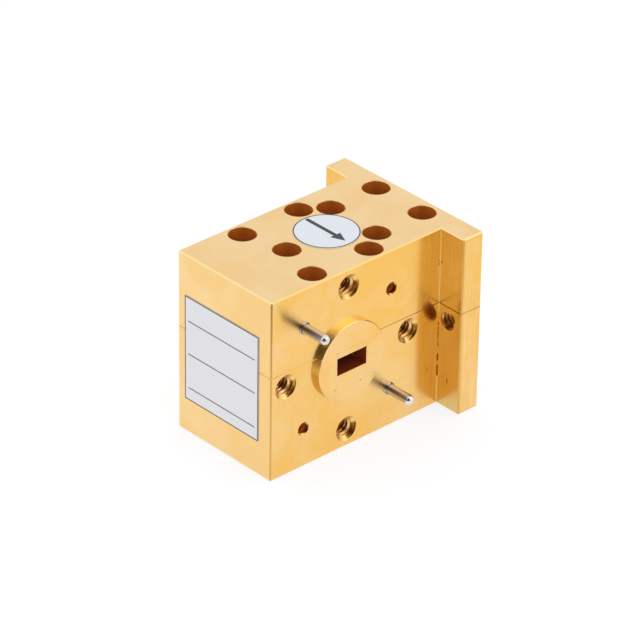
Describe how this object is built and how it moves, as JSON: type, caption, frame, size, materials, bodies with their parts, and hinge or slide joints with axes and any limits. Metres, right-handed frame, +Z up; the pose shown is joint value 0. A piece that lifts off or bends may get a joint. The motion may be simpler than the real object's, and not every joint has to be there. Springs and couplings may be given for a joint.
{
  "type": "waveguide circulator",
  "caption": "Gold plated split-block waveguide circulator with a T shaped body, round flange ports, guide pins and a flow label.",
  "frame": {"origin": "on the bottom face, under the axis of the waveguide junction", "axes": "+Y from the junction axis towards the rear port, +X towards the right port, +Z up from the bottom face"},
  "size_m": [0.03, 0.0418, 0.0298],
  "materials": {
    "gold_plate": "satin gold plating on milled brass",
    "screw_steel": "plain stainless steel",
    "pin_steel": "ground and polished stainless steel",
    "ferrite": "ground ferrite",
    "alumina": "ground alumina",
    "magnet_alloy": "ground cast magnet alloy",
    "label_film": "satin printed film"
  },
  "bodies": {
    "root": {"lower_housing": "gold_plate", "upper_housing": "gold_plate", "closing_screws": "screw_steel", "front_dowel": "pin_steel", "rear_dowel": "pin_steel", "lower_ferrite": "ferrite", "upper_ferrite": "ferrite", "ferrite_spacer": "alumina", "lower_magnet": "magnet_alloy", "upper_magnet": "magnet_alloy", "lower_magnet_cover": "gold_plate", "upper_magnet_cover": "gold_plate", "right_pin_high": "pin_steel", "right_pin_low": "pin_steel", "left_pin_high": "pin_steel", "left_pin_low": "pin_steel", "rear_pin_high": "pin_steel", "rear_pin_low": "pin_steel", "flow_label": "label_film", "data_label": "label_film"}
  },
  "joints": []
}
